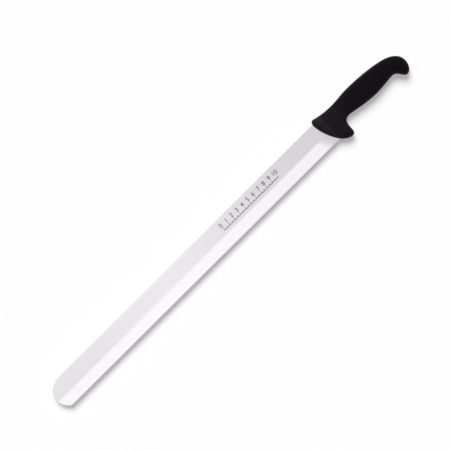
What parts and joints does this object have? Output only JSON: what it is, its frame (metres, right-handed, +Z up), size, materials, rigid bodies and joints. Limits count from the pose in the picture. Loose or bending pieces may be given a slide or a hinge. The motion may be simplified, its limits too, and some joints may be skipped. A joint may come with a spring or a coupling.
{
  "type": "doner kebab knife",
  "caption": "Long straight slicing knife with a round nose, a ground edge bevel and a black moulded handle with finger guard and butt hook.",
  "frame": {"origin": "middle of the knife's footprint, on the surface that it lies on", "axes": "+X along the knife towards the handle's butt, +Y across it towards the spine, +Z up through the blade's thickness"},
  "size_m": [0.6488, 0.0526, 0.022],
  "materials": {
    "steel": "satin flats, finer bright ground bevel",
    "core_plastic": "moulded, hidden",
    "black_plastic": "satin moulded plastic"
  },
  "bodies": {
    "root": {"blade": "steel", "handle_core": "core_plastic", "handle_grip": "black_plastic"}
  },
  "joints": []
}
